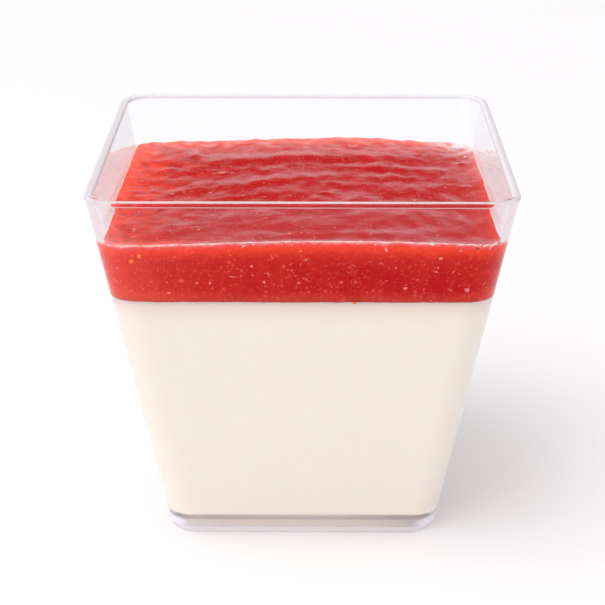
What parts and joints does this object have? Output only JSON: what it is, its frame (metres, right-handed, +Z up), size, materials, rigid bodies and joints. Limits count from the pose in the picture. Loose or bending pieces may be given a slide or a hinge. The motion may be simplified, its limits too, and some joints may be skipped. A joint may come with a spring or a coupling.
{
  "type": "panna cotta",
  "caption": "Set cream dessert under a layer of strawberry sauce, in a clear square tapered dessert cup with a beaded rim.",
  "frame": {"origin": "middle of the cup's flat underside", "axes": "+Z up, X and Y square to the cup's sides, -Y the side shown to the viewer"},
  "size_m": [0.065, 0.065, 0.0603],
  "materials": {
    "clear_plastic": "crystal clear moulded polystyrene, polished",
    "set_cream": "smooth ivory set cream, softly translucent",
    "strawberry_sauce": "glossy wet fruit sauce with fine pulp and seeds"
  },
  "bodies": {
    "root": {"cup": "clear_plastic", "panna_cotta": "set_cream", "strawberry_sauce": "strawberry_sauce"}
  },
  "joints": []
}
